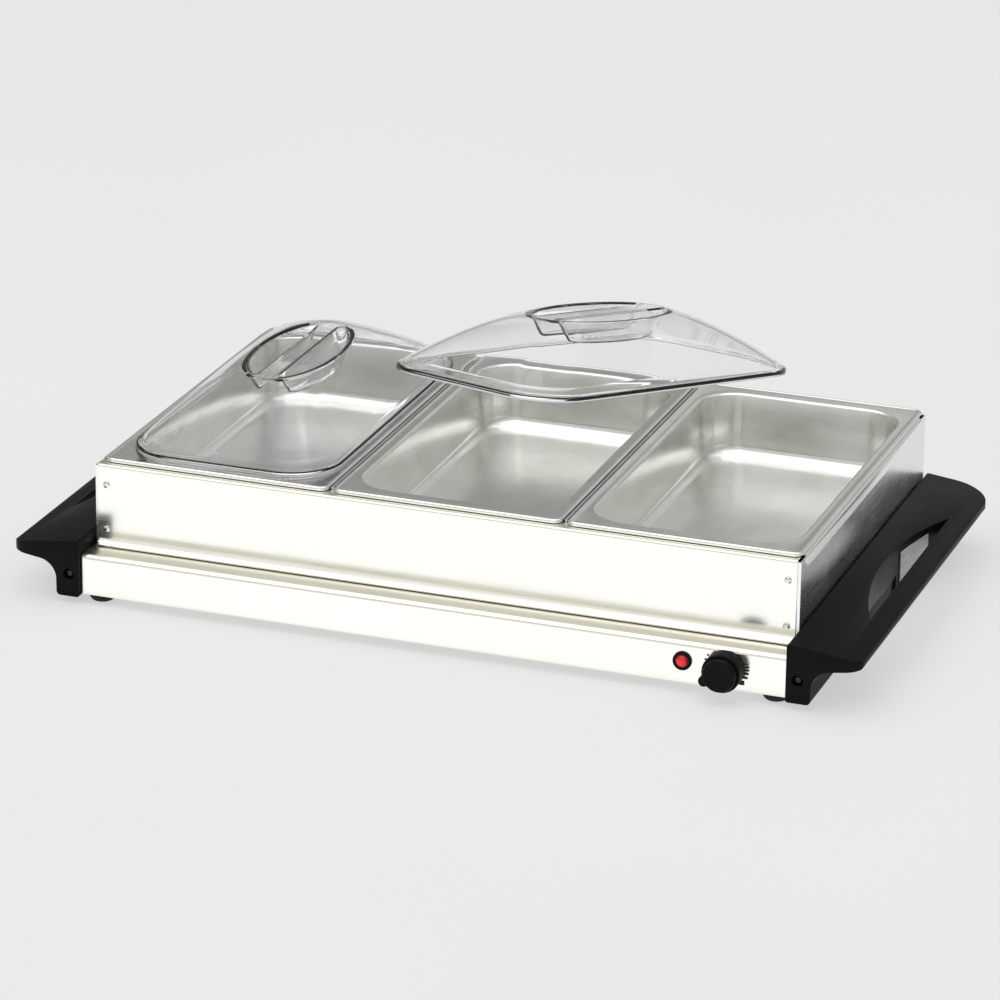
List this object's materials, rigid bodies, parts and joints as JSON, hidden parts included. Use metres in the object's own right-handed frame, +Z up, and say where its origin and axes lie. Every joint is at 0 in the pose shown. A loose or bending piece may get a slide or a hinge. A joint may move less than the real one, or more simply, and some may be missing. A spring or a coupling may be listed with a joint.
{
  "type": "electric buffet server",
  "caption": "Electric buffet server: heated stainless base with side handles, lift-off riser frame, food trays and clear domed lids.",
  "frame": {"origin": "middle of the footprint, on the surface the feet stand on", "axes": "+X to the user's right along the row of trays, +Y away from the control panel, +Z up"},
  "size_m": [0.645, 0.383, 0.233],
  "materials": {
    "stainless": "brushed stainless sheet, near white, fine grain along the width",
    "tray_steel": "bright drawn stainless with a soft polish",
    "black_plastic": "satin black heat-resistant moulding",
    "rubber": "matte black rubber",
    "clear_lid": "clear glossy polycarbonate with faint violet-grey edges",
    "pilot_red": "glossy red lens",
    "aluminium": "bright rolled sheet",
    "heater_steel": "dark oxidised steel sheath",
    "wool": "pressed mineral wool",
    "zinc": "zinc-plated steel",
    "cream_plastic": "cream thermoset moulding",
    "grey_label": "plain grey foil label with nothing printed",
    "lead_red": "silicone lead sleeving"
  },
  "bodies": {
    "base": {"warming_plate": "stainless", "base_pan": "zinc", "end_plate_left": "zinc", "end_plate_right": "zinc", "handle_left": "black_plastic", "handle_right": "black_plastic", "foot_front_left": "rubber", "foot_front_right": "rubber", "foot_back_left": "rubber", "foot_back_right": "rubber", "pilot_lens": "pilot_red", "cord_gland": "black_plastic", "heating_element": "heater_steel", "element_clamp_1": "zinc", "element_clamp_2": "zinc", "heat_reflector": "aluminium", "insulation_mat": "wool", "thermal_fuse": "zinc", "terminal_block": "cream_plastic", "lead_mains": "lead_red", "lead_element_front": "lead_red", "lead_element_rear": "lead_red", "lead_pilot": "lead_red", "pilot_lamp": "cream_plastic", "thermostat_body": "cream_plastic", "pan_screw_1": "zinc", "pan_screw_2": "zinc", "pan_screw_3": "zinc", "pan_screw_4": "zinc", "handle_screw_front_left": "zinc", "handle_screw_front_right": "zinc", "handle_screw_back_left": "zinc", "handle_screw_back_right": "zinc", "rating_plate": "grey_label", "pilot_bezel": "black_plastic"},
    "thermostat_knob": {"thermostat_knob": "black_plastic", "thermostat_shaft": "zinc"},
    "riser": {"riser_front": "stainless", "riser_back": "stainless", "riser_side_left": "stainless", "riser_side_right": "stainless", "divider_bar_1": "stainless", "divider_bar_2": "stainless", "rivet_front_left_low": "zinc", "rivet_front_left_high": "zinc", "rivet_front_right_low": "zinc", "rivet_front_right_high": "zinc", "rivet_back_left_low": "zinc", "rivet_back_left_high": "zinc", "rivet_back_right_low": "zinc", "rivet_back_right_high": "zinc"},
    "tray_left": {"tray_left": "tray_steel"},
    "tray_middle": {"tray_middle": "tray_steel"},
    "tray_right": {"tray_right": "tray_steel"},
    "lid_left": {"lid_left": "clear_lid"},
    "lid_middle": {"lid_middle": "clear_lid"}
  },
  "joints": [
    {"name": "thermostat_spin", "type": "hinge", "parent": "base", "child": "thermostat_knob", "pos_m": [0.2235, -0.174, 0.0228], "axis": [0, 1, 0], "range_deg": [0, 240]},
    {"name": "riser_lift", "type": "slide", "parent": "base", "child": "riser", "axis": [0, 0, 1], "range_m": [0, 0.08]},
    {"name": "tray_left_lift", "type": "slide", "parent": "riser", "child": "tray_left", "axis": [0, 0, 1], "range_m": [0, 0.046]},
    {"name": "tray_middle_lift", "type": "slide", "parent": "riser", "child": "tray_middle", "axis": [0, 0, 1], "range_m": [0, 0.046]},
    {"name": "tray_right_lift", "type": "slide", "parent": "riser", "child": "tray_right", "axis": [0, 0, 1], "range_m": [0, 0.046]},
    {"name": "lid_left_lift", "type": "slide", "parent": "tray_left", "child": "lid_left", "axis": [0, 0, 1], "range_m": [0, 0.08]},
    {"name": "lid_middle_lift", "type": "slide", "parent": "tray_middle", "child": "lid_middle", "axis": [0, 0, 1], "range_m": [0, 0.08]}
  ]
}
